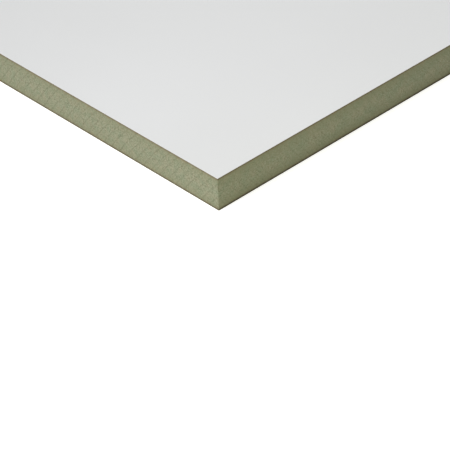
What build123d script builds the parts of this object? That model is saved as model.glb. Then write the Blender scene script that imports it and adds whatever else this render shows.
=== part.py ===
"""Faced moisture-resistant MDF board, one full stock sheet lying flat.

A pressed wood-fibre core with a resin-impregnated paper facing bonded to each side. The facings are
pressed on before the sheet is trimmed, so the trim saw leaves all three layers flush on every edge.

Millimetres. The origin is at the centre of the underside, +X runs along the length, +Z is up.
"""

import os

from build123d import *

# Driving dimensions
sheet_length = 2440.0
sheet_width = 1220.0
sheet_thickness = 18.0  # over both facings
facing_thickness = 0.15  # one pressed paper facing

# Heights that follow from them
core_thickness = sheet_thickness - 2 * facing_thickness
core_underside = facing_thickness
core_top = core_underside + core_thickness


# Fibre core
# Hot-pressed green fibreboard. It takes up what the two facings leave of the nominal thickness.
with BuildPart() as core:
    with BuildSketch(Plane.XY.offset(core_underside)):
        Rectangle(sheet_length, sheet_width)
    extrude(amount=core_thickness)
core.part.label = "mdf_core"


# Top facing
# White decor paper, seated face to face on the core and trimmed with it.
with BuildPart() as top_facing:
    with BuildSketch(Plane.XY.offset(core_top)):
        Rectangle(sheet_length, sheet_width)
    extrude(amount=facing_thickness)
top_facing.part.label = "top_facing"


# Bottom facing
# The same paper on the underside. It balances the top one, so that the sheet stays flat.
with BuildPart() as bottom_facing:
    with BuildSketch(Plane.XY.offset(core_underside)):
        Rectangle(sheet_length, sheet_width)
    extrude(amount=-facing_thickness)
bottom_facing.part.label = "bottom_facing"


# One STEP file for each piece
os.makedirs("parts", exist_ok=True)
for piece in (core, top_facing, bottom_facing):
    export_step(piece.part, f"parts/{piece.part.label}.step")
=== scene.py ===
import math

import bmesh
import bpy
from mathutils import Matrix, Vector


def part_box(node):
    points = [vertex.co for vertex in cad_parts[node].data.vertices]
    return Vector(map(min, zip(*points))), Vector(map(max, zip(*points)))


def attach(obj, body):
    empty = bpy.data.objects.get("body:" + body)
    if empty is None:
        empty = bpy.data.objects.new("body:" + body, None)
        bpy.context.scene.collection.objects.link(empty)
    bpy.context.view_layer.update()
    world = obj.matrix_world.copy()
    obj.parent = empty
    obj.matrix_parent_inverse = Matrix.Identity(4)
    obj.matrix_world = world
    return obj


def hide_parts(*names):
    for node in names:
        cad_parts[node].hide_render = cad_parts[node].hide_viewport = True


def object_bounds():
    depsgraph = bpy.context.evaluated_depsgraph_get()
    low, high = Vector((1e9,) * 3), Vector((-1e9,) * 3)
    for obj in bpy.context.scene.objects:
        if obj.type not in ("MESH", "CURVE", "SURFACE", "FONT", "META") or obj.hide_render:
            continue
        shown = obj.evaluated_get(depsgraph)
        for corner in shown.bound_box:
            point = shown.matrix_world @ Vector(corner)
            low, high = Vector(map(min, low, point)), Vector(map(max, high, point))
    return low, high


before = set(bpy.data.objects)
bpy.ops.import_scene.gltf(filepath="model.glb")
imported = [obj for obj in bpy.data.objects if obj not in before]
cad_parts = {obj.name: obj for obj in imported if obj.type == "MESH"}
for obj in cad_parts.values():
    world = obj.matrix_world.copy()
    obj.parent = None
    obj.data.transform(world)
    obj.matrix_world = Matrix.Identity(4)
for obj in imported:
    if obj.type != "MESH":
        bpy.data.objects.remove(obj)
cad_low, cad_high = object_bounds()


# Fibre core
# Moisture-resistant fibreboard: wood fibre, green dye and resin, hot-pressed into one slab with a dense
# brown skin on each side. A panel saw trims it to size, and its teeth leave shallow arcs across the edges.
mm = 0.001
core_low, core_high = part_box("mdf_core")
core_size = core_high - core_low
core_middle = (core_low + core_high) / 2
half_length, half_width, half_core = core_size / 2

hair = 0.002 * mm  # room for rounding when points are picked by their place or merged
corner_ease = 0.12 * mm  # worn off the four upright corners
blade_radius = 150 * mm
arbor_drop = 98 * mm  # from the middle of the board down to the saw's arbor, which slants the arcs
arc_steps = 8  # straight steps in one arc

# The feed for each turn of the blade, and how far the first mark is from the near corner
end_pitch, end_first_mark = 5.815 * mm, 4.9 * mm
long_pitch, long_first_mark = 5.075 * mm, 3.2 * mm

# One saw mark, as shares of its pitch and depth: up a steep step, then down a long slope to the next
mark_along_shares = (0, 0.14, 0.36, 0.62, 1)
mark_depth_shares = (1, 0, 0.5, 0.85, 1)
mark_depth = 0.08 * mm

# Soft noise shifts the marks along the edge, as uneven feed does, and makes some deeper than others
feed_shift, feed_change_size, feed_contrast = 0.6 * mm, 25 * mm, 1
depth_change_size, depth_contrast = 3 * mm, 0.25
cloud_middle = 0.5  # the average of the noise


def select_vertices(piece, wanted):
    """Selects, in edit mode, the vertices of the piece whose place passes the test."""
    mesh = bmesh.from_edit_mesh(piece.data)
    for vertex in mesh.verts:
        vertex.select_set(wanted(vertex.co))
    mesh.select_flush_mode()
    bmesh.update_edit_mesh(piece.data)


def apply_modifier(piece, kind, **settings):
    """Adds one modifier to the active piece, with its settings, and applies it."""
    modifier = piece.modifiers.new(kind.title(), kind)
    for setting, value in settings.items():
        setattr(modifier, setting, value)
    bpy.ops.object.modifier_apply(modifier=modifier.name)


def cloud_texture(name, cloud_size, contrast):
    """Soft noise for the Displace modifier."""
    texture = bpy.data.textures.new(name, "CLOUDS")
    texture.noise_scale = cloud_size
    texture.noise_depth = 0
    texture.contrast = contrast
    texture.use_clamp = True
    return texture


def tooth_lag(height):
    """How far along the edge the saw's tooth is behind its arbor at this height."""
    above_arbor = height - core_middle.z + arbor_drop
    return -math.sqrt(blade_radius**2 - above_arbor**2)


def draw_mark(name, pitch, start):
    """One saw mark along the foot: a row of points back from its start, with their depths as weights."""
    bpy.ops.object.select_all(action="DESELECT")
    spans = len(mark_along_shares) - 1
    span = pitch / spans
    bpy.ops.mesh.primitive_grid_add(x_subdivisions=spans, y_subdivisions=1, size=pitch, calc_uvs=False)
    edge = bpy.context.object
    edge.name = name

    # Only the front row of the grid stays, and each of its points is drawn from its even place to its own
    bpy.ops.object.mode_set(mode="EDIT")
    select_vertices(edge, lambda place: place.y > 0)
    bpy.ops.mesh.delete(type="VERT")
    bpy.ops.object.vertex_group_add()
    for point, (along_share, depth_share) in enumerate(zip(mark_along_shares, mark_depth_shares)):
        even_place = pitch / 2 - point * span
        select_vertices(edge, lambda place: abs(place.x - even_place) < span / 2)
        bpy.context.scene.tool_settings.vertex_group_weight = depth_share
        bpy.ops.object.vertex_group_assign()
        bpy.ops.transform.translate(value=(point * span - along_share * pitch, 0, 0))
    bpy.ops.mesh.select_all(action="SELECT")
    bpy.ops.transform.translate(value=(start - pitch / 2, pitch / 2, core_low.z))
    bpy.ops.object.mode_set(mode="OBJECT")
    return edge


def repeat_mark(edge, pitch, marks):
    """The whole row of marks, not quite evenly spaced and cut."""
    feed_noise = cloud_texture("feed", feed_change_size, feed_contrast)
    tooth_noise = cloud_texture("teeth", depth_change_size, depth_contrast)
    apply_modifier(edge, "ARRAY", count=marks, use_relative_offset=False, use_constant_offset=True,
                   constant_offset_displace=(-pitch, 0, 0))
    apply_modifier(edge, "DISPLACE", texture=feed_noise, direction="X", strength=feed_shift,
                   mid_level=cloud_middle)
    apply_modifier(edge, "DISPLACE", texture=tooth_noise, direction="Y", strength=mark_depth / cloud_middle,
                   mid_level=0, vertex_group=edge.vertex_groups[0].name)


def pull_up(edge, length):
    """The row pulled up through the thickness along the teeth's path, then trimmed to its length."""
    bpy.ops.object.mode_set(mode="EDIT")
    bpy.ops.mesh.select_all(action="SELECT")
    bpy.ops.mesh.remove_doubles(threshold=hair)
    step = core_size.z / arc_steps
    for index in range(arc_steps):
        foot = core_low.z + index * step
        move = (tooth_lag(foot + step) - tooth_lag(foot), 0, step)
        bpy.ops.mesh.extrude_region_move(TRANSFORM_OT_translate={"value": move})
    for side in (-1, 1):
        bpy.ops.mesh.select_all(action="SELECT")
        end = (side * (length / 2 - corner_ease), 0, 0)
        bpy.ops.mesh.bisect(plane_co=end, plane_no=(side, 0, 0), clear_outer=True, threshold=hair)
    bpy.ops.object.mode_set(mode="OBJECT")


def sawn_sides(name, length, reach, turn, near_end, pitch, first_mark):
    """A sawn side and the one opposite. The first stands this far from the board's middle, turned to its
    place, and near_end, 1 or -1, is the end that its first mark is measured from."""
    lean = tooth_lag(core_high.z) - tooth_lag(core_low.z)
    foot_lag = tooth_lag(core_low.z) - tooth_lag(core_middle.z)
    marks_past_end = math.ceil(lean / pitch)
    edge = draw_mark(name, pitch, length / 2 - first_mark + marks_past_end * pitch + foot_lag)
    repeat_mark(edge, pitch, math.ceil(length / pitch) + 2 * marks_past_end)
    pull_up(edge, length)

    bpy.ops.object.mode_set(mode="EDIT")
    bpy.ops.mesh.select_all(action="SELECT")
    bpy.ops.transform.translate(value=(0, -reach, 0))
    bpy.ops.transform.resize(value=(near_end, 1, 1), center_override=(0, 0, 0))
    bpy.ops.object.mode_set(mode="OBJECT")
    edge.rotation_euler.z = turn
    bpy.ops.object.transform_apply(rotation=True)

    # The opposite side is the same cut, half a turn round
    bpy.ops.object.duplicate()
    opposite = bpy.context.object
    opposite.rotation_euler.z = math.pi
    bpy.ops.object.transform_apply(rotation=True)
    return [edge, opposite]


sides = sawn_sides("ends", core_size.y, half_length, -math.pi / 2, 1, end_pitch, end_first_mark)
sides += sawn_sides("long_edges", core_size.x, half_width, 0, -1, long_pitch, long_first_mark)
bpy.ops.object.select_all(action="DESELECT")
for side in sides:
    side.select_set(True)
core = sides[0]
bpy.context.view_layer.objects.active = core
bpy.ops.object.join()
core.name = core.data.name = "sawn_core"


def in_corner(place, x_side, y_side):
    """Whether a point is on the eased upright corner on these two sides."""
    past_end = x_side * place.x > half_length - corner_ease - hair
    past_edge = y_side * place.y > half_width - corner_ease - hair
    return past_end and past_edge


# The four sides are bridged at the upright corners, then closed with a face above and below
bpy.ops.object.mode_set(mode="EDIT")
for x_side in (-1, 1):
    for y_side in (-1, 1):
        select_vertices(core, lambda place: in_corner(place, x_side, y_side))
        bpy.ops.mesh.bridge_edge_loops()
bpy.ops.mesh.select_all(action="SELECT")
bpy.ops.mesh.fill_holes(sides=0)
bpy.ops.mesh.select_all(action="SELECT")
bpy.ops.mesh.normals_make_consistent(inside=False)
bpy.ops.object.mode_set(mode="OBJECT")

# The core's own texture map: its four sides are laid out in rows, as lines on a page, so that they keep
# their pattern where it is baked. The upper and lower faces, which the facings hide, share a last row.
map_rows = 20
border_share = 0.03  # of a row, left free at each of its sides
filled_share = 1 - 2 * border_share
hidden_share = 0.25  # of the last row, for the length of each hidden face
upper_share, lower_share = 0.25, 0.75  # of the last row, to the middle of each hidden face
perimeter = 2 * (core_size.x + core_size.y)
row_length = perimeter / map_rows


def along_perimeter(place, facing):
    """How far round the board a point is, from the front left corner, on a side that faces this way."""
    along_x, along_y = place.x + half_length, place.y + half_width
    if abs(facing.y) > abs(facing.x):
        return along_x if facing.y < 0 else perimeter - core_size.y - along_x
    return core_size.x + along_y if facing.x > 0 else perimeter - along_y


def in_row(row, along_share, up_share):
    """Where in the map a point is that lies at these shares of a row's length and height."""
    along = border_share + filled_share * along_share
    up = row + border_share + filled_share * up_share
    return along, up / (map_rows + 1)


edge_map = core.data.uv_layers.new(name="OFBake")
for face in core.data.polygons:
    hidden = abs(face.normal.z) > abs(face.normal.x) + abs(face.normal.y)
    row = map_rows if hidden else int(along_perimeter(face.center, face.normal) / row_length)
    for corner in face.loop_indices:
        place = core.data.vertices[core.data.loops[corner].vertex_index].co
        if hidden:
            middle_share = upper_share if face.normal.z > 0 else lower_share
            along_share = middle_share + hidden_share * place.x / core_size.x
            up_share = (place.y + half_width) / core_size.y
        else:
            along_share = along_perimeter(place, face.normal) / row_length - row
            up_share = (place.z - core_low.z) / core_size.z
        edge_map.data[corner].uv = in_row(row, along_share, up_share)


def linear(hex_colour):
    """An sRGB hex colour as the linear values that shaders take, by the curve in the sRGB standard."""
    dark_limit, dark_slope, lift, power = 0.04045, 12.92, 0.055, 2.4
    channels = [int(hex_colour[i:i + 2], 16) / 255 for i in (1, 3, 5)]
    curved = [c / dark_slope if c <= dark_limit else ((c + lift) / (1 + lift)) ** power for c in channels]
    return curved + [1]


def add_node(tree, kind, inputs, **settings):
    """Adds a node with its settings, and gives its outputs by name. An input takes a value or an output."""
    node = tree.nodes.new(kind)
    for setting, value in settings.items():
        setattr(node, setting, value)
    named = {socket.name: socket for socket in node.inputs if socket.enabled}
    for key, value in inputs.items():
        socket = node.inputs[key] if isinstance(key, int) else named[key]
        if isinstance(value, bpy.types.NodeSocket):
            tree.links.new(value, socket)
        else:
            socket.default_value = value
    return {socket.name: socket for socket in node.outputs if socket.enabled}


def new_material(name):
    """A material with no nodes yet, and its node tree."""
    material = bpy.data.materials.new(name)
    material.use_nodes = True
    material.node_tree.nodes.clear()
    return material, material.node_tree


def depth_off_middle(tree, height):
    """How far a height is from the middle of the board's thickness, above or below."""
    from_middle = add_node(tree, "ShaderNodeMath", {0: height, 1: core_middle.z},
                           operation="SUBTRACT")["Value"]
    return add_node(tree, "ShaderNodeMath", {0: from_middle}, operation="ABSOLUTE")["Value"]


# Green fibreboard, sawn
# Dull and dusty, mottled with fine pale and dark fibres, unevenly dyed, denser and browner towards both
# pressed skins, with a thin dark crust at each. Painted shade darkens the steep sides of the saw marks,
# the lower arris, and the dense zones and crusts on the long edges. The fibres are drawn several times
# thicker than real ones, so that they show.
fibre_pale, fibre_dark = "#B2B19C", "#777D65"
dye_straw, dye_green = "#A19B7F", "#839173"
speck_dark = "#6F6E58"
# Painted shade for the steep sides of the saw marks
step_shade_dark = "#5E5F4B"
# The dense zone's colour, laid on more strongly on the long edges as painted shade
dense_and_shade_green = "#87896D"
skin_brown = "#857D64"
fleck_tan = "#A58F66"
# The crust's colour, laid on more strongly on the long edges as painted shade
crust_and_shade_brown = "#5A4D2E"
# Painted shade along the foot
foot_shade_dark = "#393930"

# Each pattern's size, how many finer layers its noise has, and between which values of the noise it sets in
fibre_size, fibre_detail, fibre_limits = 1.0 * mm, 2, (0.3, 0.7)
fibre_flatness = 1.3  # how much longer a fibre is than it is thick
fibre_fineness = 0.6  # how strong the finer layers are
dye_size, dye_detail, dye_limits = 4 * mm, 3, (0.35, 0.65)
speck_size, speck_detail, speck_limits = 0.9 * mm, 0, (0.6, 0.8)
fleck_size, fleck_detail, fleck_limits = 1.2 * mm, 1, (0.58, 0.68)
ragged_size, ragged_detail = 2.5 * mm, 2  # the skin's uneven border

# How much of what lies under it each layer covers at most, and how deep it goes below the pressed faces
dye_strength = 0.36
speck_strength = 0.5
step_slope, step_shade_strength = 0.1, 0.14  # the steep side of a saw mark, darkened with painted shade
fleck_strength, fleck_depth = 0.35, 3.5 * mm
skin_depth, ragged_depth = 1.75 * mm, 0.9 * mm
dense_and_shade_depth, crust_and_shade_depth, foot_shade_height = 7 * mm, 1.0 * mm, 1.5 * mm
side_strengths = {"dense_and_shade": (0.4, 0.7), "crust_and_shade": (0.2, 0.7), "foot_shade": (0.5, 0.85)}  # ends, long edges

fuzz_height, fuzz_strength = 0.1 * mm, 0.4
dusty_roughness, dusty_shine, fibre_ior = 0.9, 0.25, 1.45

fibreboard, tree = new_material("sawn green fibreboard")
surface = add_node(tree, "ShaderNodeTexCoord", {})
place = surface["Object"]
facing = add_node(tree, "ShaderNodeSeparateXYZ", {"Vector": surface["Normal"]})
height = add_node(tree, "ShaderNodeSeparateXYZ", {"Vector": place})["Z"]
off_middle = depth_off_middle(tree, height)

# Pale and dark fibres, with straw and green patches of dye
flat_place = add_node(tree, "ShaderNodeVectorMath", {0: place, 1: (1, 1, fibre_flatness)},
                      operation="MULTIPLY")["Vector"]
fibre_noise = add_node(tree, "ShaderNodeTexNoise",
                       {"Vector": flat_place, "Scale": 1 / fibre_size, "Detail": fibre_detail,
                        "Roughness": fibre_fineness})["Fac"]
paleness = add_node(tree, "ShaderNodeMapRange",
                    {"Value": fibre_noise, "From Min": fibre_limits[0],
                     "From Max": fibre_limits[1]})["Result"]
fibres = add_node(tree, "ShaderNodeMix",
                  {"Factor": paleness, "A": linear(fibre_dark), "B": linear(fibre_pale)},
                  data_type="RGBA")["Result"]
dye_noise = add_node(tree, "ShaderNodeTexNoise",
                     {"Vector": place, "Scale": 1 / dye_size, "Detail": dye_detail})["Fac"]
greenness = add_node(tree, "ShaderNodeMapRange",
                     {"Value": dye_noise, "From Min": dye_limits[0], "From Max": dye_limits[1]})["Result"]
dye = add_node(tree, "ShaderNodeMix",
               {"Factor": greenness, "A": linear(dye_straw), "B": linear(dye_green)},
               data_type="RGBA")["Result"]
dyed = add_node(tree, "ShaderNodeMix", {"Factor": dye_strength, "A": fibres, "B": dye},
                data_type="RGBA")["Result"]

# Dark specks, and painted shade on the steep sides of the saw marks, which lean the other way from
# their long slopes
speck_noise = add_node(tree, "ShaderNodeTexNoise",
                       {"Vector": flat_place, "Scale": 1 / speck_size, "Detail": speck_detail})["Fac"]
specks = add_node(tree, "ShaderNodeMapRange",
                  {"Value": speck_noise, "From Min": speck_limits[0], "From Max": speck_limits[1],
                   "To Max": speck_strength})["Result"]
slope = add_node(tree, "ShaderNodeMath", {0: facing["X"], 1: facing["Y"]}, operation="MULTIPLY")["Value"]
step_shade = add_node(tree, "ShaderNodeMapRange",
                 {"Value": slope, "From Max": step_slope, "To Max": step_shade_strength})["Result"]

# Some layers are stronger on the long edges than on the ends; the extra there is painted shade
on_long_edge = add_node(tree, "ShaderNodeMath", {0: facing["Y"]}, operation="ABSOLUTE")["Value"]
strength = {}
for layer, (on_ends, on_long_edges) in side_strengths.items():
    by_side = {"Value": on_long_edge, "To Min": on_ends, "To Max": on_long_edges}
    strength[layer] = add_node(tree, "ShaderNodeMapRange", by_side)["Result"]

# Towards both pressed faces: a dense zone, a ragged brown skin with tan flecks, and a thin dark crust.
# On the long edges the dense zone and the crust are deepened with painted shade.
density_and_shade = add_node(tree, "ShaderNodeMapRange",
                   {"Value": off_middle, "From Min": half_core - dense_and_shade_depth, "From Max": half_core,
                    "To Max": strength["dense_and_shade"]})["Result"]
ragged_noise = add_node(tree, "ShaderNodeTexNoise",
                        {"Vector": place, "Scale": 1 / ragged_size, "Detail": ragged_detail})["Fac"]
raggedness = add_node(tree, "ShaderNodeMapRange",
                      {"Value": ragged_noise, "To Min": -ragged_depth, "To Max": ragged_depth})["Result"]
off_ragged = add_node(tree, "ShaderNodeMath", {0: off_middle, 1: raggedness}, operation="ADD")["Value"]
skin = add_node(tree, "ShaderNodeMapRange",
                {"Value": off_ragged, "From Min": half_core - skin_depth, "From Max": half_core},
                interpolation_type="SMOOTHSTEP")["Result"]
fleck_noise = add_node(tree, "ShaderNodeTexNoise",
                       {"Vector": place, "Scale": 1 / fleck_size, "Detail": fleck_detail})["Fac"]
fleck_share = add_node(tree, "ShaderNodeMapRange",
                       {"Value": fleck_noise, "From Min": fleck_limits[0], "From Max": fleck_limits[1],
                        "To Max": fleck_strength})["Result"]
near_face = add_node(tree, "ShaderNodeMapRange",
                     {"Value": off_middle, "From Min": half_core - fleck_depth,
                      "From Max": half_core})["Result"]
flecks = add_node(tree, "ShaderNodeMath", {0: fleck_share, 1: near_face}, operation="MULTIPLY")["Value"]
crust_and_shade = add_node(tree, "ShaderNodeMapRange",
                 {"Value": off_middle, "From Min": half_core - crust_and_shade_depth, "From Max": half_core,
                  "To Max": strength["crust_and_shade"]}, interpolation_type="SMOOTHSTEP")["Result"]

# Painted shade along the foot, stronger on the long edges
foot_shade = add_node(tree, "ShaderNodeMapRange",
                 {"Value": height, "From Min": cad_low.z + foot_shade_height, "From Max": cad_low.z,
                  "To Max": strength["foot_shade"]}, interpolation_type="SMOOTHSTEP")["Result"]

# Each layer in turn covers its share of what lies under it
sawn = dyed
for share, layer_colour in ((specks, speck_dark), (step_shade, step_shade_dark), (density_and_shade, dense_and_shade_green),
                            (skin, skin_brown), (flecks, fleck_tan), (crust_and_shade, crust_and_shade_brown),
                            (foot_shade, foot_shade_dark)):
    sawn = add_node(tree, "ShaderNodeMix", {"Factor": share, "A": sawn, "B": linear(layer_colour)},
                    data_type="RGBA")["Result"]
fuzz = add_node(tree, "ShaderNodeBump",
                {"Height": fibre_noise, "Strength": fuzz_strength, "Distance": fuzz_height})["Normal"]
shader = add_node(tree, "ShaderNodeBsdfPrincipled",
                  {"Base Color": sawn, "Normal": fuzz, "Roughness": dusty_roughness, "IOR": fibre_ior,
                   "Specular IOR Level": dusty_shine})
add_node(tree, "ShaderNodeOutputMaterial", {"Surface": shader["BSDF"]})

core.data.materials.clear()
core.data.materials.append(fibreboard)
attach(core, "root")
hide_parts("mdf_core")


# Facings
# White decor paper soaked in melamine resin, one sheet above and one below, bonded to the core by heat and
# pressure, and trimmed flush with it on every edge.

# Satin white melamine paper
# A hard, even white with a soft shine, very faint patches and a fine grain from the press plate, which is
# drawn coarser than the real one so that it shows. The thin cut edge is brown with resin, and drawn
# darker with painted shade.
facing_white, facing_shade = "#E7E8E8", "#E4E5E5"
# The cut edge's resin brown, darkened with painted shade
resin_brown_and_shade = "#5F5236"
print_depth = 0.01 * mm  # of the white on the outer faces
down_limit = -0.5  # of the normal's upward part, on a face that looks down
grain_size, grain_detail = 0.8 * mm, 2
grain_height, grain_strength = 0.02 * mm, 0.15
patch_size, patch_detail = 60 * mm, 2
satin_roughness, resin_ior = 0.45, 1.55

melamine, tree = new_material("satin white melamine paper")
surface = add_node(tree, "ShaderNodeTexCoord", {})
place = surface["Object"]
grain = add_node(tree, "ShaderNodeTexNoise",
                 {"Vector": place, "Scale": 1 / grain_size, "Detail": grain_detail})["Fac"]
patches = add_node(tree, "ShaderNodeTexNoise",
                   {"Vector": place, "Scale": 1 / patch_size, "Detail": patch_detail})["Fac"]
white = add_node(tree, "ShaderNodeMix",
                 {"Factor": patches, "A": linear(facing_white), "B": linear(facing_shade)},
                 data_type="RGBA")["Result"]

# White on both outer faces, and on the back of the upper sheet, which the core hides: a brown back would
# bleed into the white where the two are baked side by side
height = add_node(tree, "ShaderNodeSeparateXYZ", {"Vector": place})["Z"]
off_middle = depth_off_middle(tree, height)
half_board = cad_high.z - core_middle.z
on_outside = add_node(tree, "ShaderNodeMath", {0: off_middle, 1: half_board, 2: print_depth},
                      operation="COMPARE")["Value"]
facing = add_node(tree, "ShaderNodeSeparateXYZ", {"Vector": surface["Normal"]})
facing_down = add_node(tree, "ShaderNodeMath", {0: facing["Z"], 1: down_limit},
                       operation="LESS_THAN")["Value"]
whiteness = add_node(tree, "ShaderNodeMath", {0: on_outside, 1: facing_down}, operation="MAXIMUM")["Value"]
paper = add_node(tree, "ShaderNodeMix", {"Factor": whiteness, "A": linear(resin_brown_and_shade), "B": white},
                 data_type="RGBA")["Result"]
pearl = add_node(tree, "ShaderNodeBump",
                 {"Height": grain, "Strength": grain_strength, "Distance": grain_height})["Normal"]
shader = add_node(tree, "ShaderNodeBsdfPrincipled",
                  {"Base Color": paper, "Normal": pearl, "Roughness": satin_roughness, "IOR": resin_ior})
add_node(tree, "ShaderNodeOutputMaterial", {"Surface": shader["BSDF"]})
for name in ("top_facing", "bottom_facing"):
    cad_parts[name].material_slots[0].material = melamine


# Studio floor
# A plain sweep of matt white paper that the board lies on, larger than any view of it. The picture shows it
# as white, with a faint shadow beside the board.
floor_size = 80  # metres
floor_white = "#E4E3DA"
floor_glow = 0.74  # what the camera sees besides the lit floor
matt_roughness, matt_shine = 1, 0
plain_white = (1, 1, 1, 1)


def seen_in_picture(tree):
    """1 for what the camera sees, straight, mirrored or through glass, and 0 for what lights the board."""
    rays = add_node(tree, "ShaderNodeLightPath", {})
    seen = rays["Is Camera Ray"]
    for way in ("Is Glossy Ray", "Is Transmission Ray"):
        seen = add_node(tree, "ShaderNodeMath", {0: seen, 1: rays[way]}, operation="MAXIMUM")["Value"]
    return seen


bpy.ops.object.select_all(action="DESELECT")
bpy.ops.mesh.primitive_plane_add(size=floor_size, location=(0, 0, cad_low.z))
floor = bpy.context.object
floor.name = "studio_floor"
bpy.ops.object.transform_apply(location=True)
sweep, tree = new_material("white paper sweep")
glow = add_node(tree, "ShaderNodeMath", {0: seen_in_picture(tree), 1: floor_glow},
                operation="MULTIPLY")["Value"]
shader = add_node(tree, "ShaderNodeBsdfPrincipled",
                  {"Base Color": linear(floor_white), "Roughness": matt_roughness,
                   "Specular IOR Level": matt_shine, "Emission Color": plain_white,
                   "Emission Strength": glow})
add_node(tree, "ShaderNodeOutputMaterial", {"Surface": shader["BSDF"]})
floor.data.materials.append(sweep)


# Studio light
# A soft room of even light, a distant key lamp high on the left, and two small cards of light by the near
# corner. The picture shows the room as white.
room_light, room_white = 0.40, 1
key_side, key_height = math.radians(12), math.radians(42)  # towards the back from the left, and up
key_spread, key_power = math.radians(12), 1.87
card_size = 0.1
top_card_cool, top_card_power = "#F6F6FF", 0.056
edge_card_cream, edge_card_power = "#FFFFCC", 0.19
top_card_offset, edge_card_offset = Vector((0.006, 0.07, 0.2)), Vector((-0.1, -0.3, 0.1))

room = bpy.data.worlds.new("white_studio")
room.use_nodes = True
bpy.context.scene.world = room
tree = room.node_tree
tree.nodes.clear()
level = add_node(tree, "ShaderNodeMapRange",
                 {"Value": seen_in_picture(tree), "To Min": room_light, "To Max": room_white})["Result"]
backdrop = add_node(tree, "ShaderNodeBackground", {"Color": plain_white, "Strength": level})
add_node(tree, "ShaderNodeOutputWorld", {"Surface": backdrop["Background"]})


def hang_lamp(name, kind, place, aim, power, **settings):
    """A lamp at a place, turned towards its aim, that the camera doesn't see."""
    lamp = bpy.data.lights.new(name, kind)
    lamp.energy = power
    for setting, value in settings.items():
        setattr(lamp, setting, value)
    holder = bpy.data.objects.new(name, lamp)
    holder.location = place
    holder.rotation_euler = (aim - place).to_track_quat("-Z", "Y").to_euler()
    holder.visible_camera = False
    bpy.context.scene.collection.objects.link(holder)


near_corner = Vector((cad_low.x, cad_low.y, cad_high.z))
key_way = Vector((-math.cos(key_side), math.sin(key_side), math.tan(key_height)))
hang_lamp("key_light", "SUN", near_corner + key_way, near_corner, key_power, angle=key_spread)
hang_lamp("top_card", "AREA", near_corner + top_card_offset, near_corner, top_card_power, size=card_size,
          color=linear(top_card_cool)[:3])
hang_lamp("edge_card", "AREA", near_corner + edge_card_offset, near_corner, edge_card_power, size=card_size,
          color=linear(edge_card_cream)[:3])


# Camera
# Looks down over the near corner with a long lens, as the photograph does. Its turn, its lens and the place
# of the upper near corner in the picture were fitted to the board's edges there.
image_pixels = 450
sensor = 36  # millimetres, as Blender gives lenses
focal_pixels = 1814.8
heading, dip, tilt = math.radians(42.12), math.radians(36.55), math.radians(-2.54)
corner_depth = 0.827  # from the camera, along the line of sight
corner_right, corner_up = -7.61, 46.09  # of the middle of the picture, in pixels

forward = Vector((math.sin(heading) * math.cos(dip), math.cos(heading) * math.cos(dip), -math.sin(dip)))
level_right = Vector((math.cos(heading), -math.sin(heading), 0))
level_up = level_right.cross(forward)
right = level_right * math.cos(tilt) + level_up * math.sin(tilt)
up = level_up * math.cos(tilt) - level_right * math.sin(tilt)
camera_turn = Matrix((right, up, -forward)).transposed()
corner_in_view = Vector((corner_right / focal_pixels, corner_up / focal_pixels, -1)) * corner_depth
lens = bpy.data.cameras.new("camera")
lens.sensor_width = sensor
lens.lens = focal_pixels / image_pixels * sensor
camera = bpy.data.objects.new("camera", lens)
camera.matrix_world = Matrix.Translation(near_corner - camera_turn @ corner_in_view) @ camera_turn.to_4x4()
bpy.context.scene.collection.objects.link(camera)
bpy.context.scene.camera = camera
bpy.context.scene.view_settings.view_transform = "Standard"
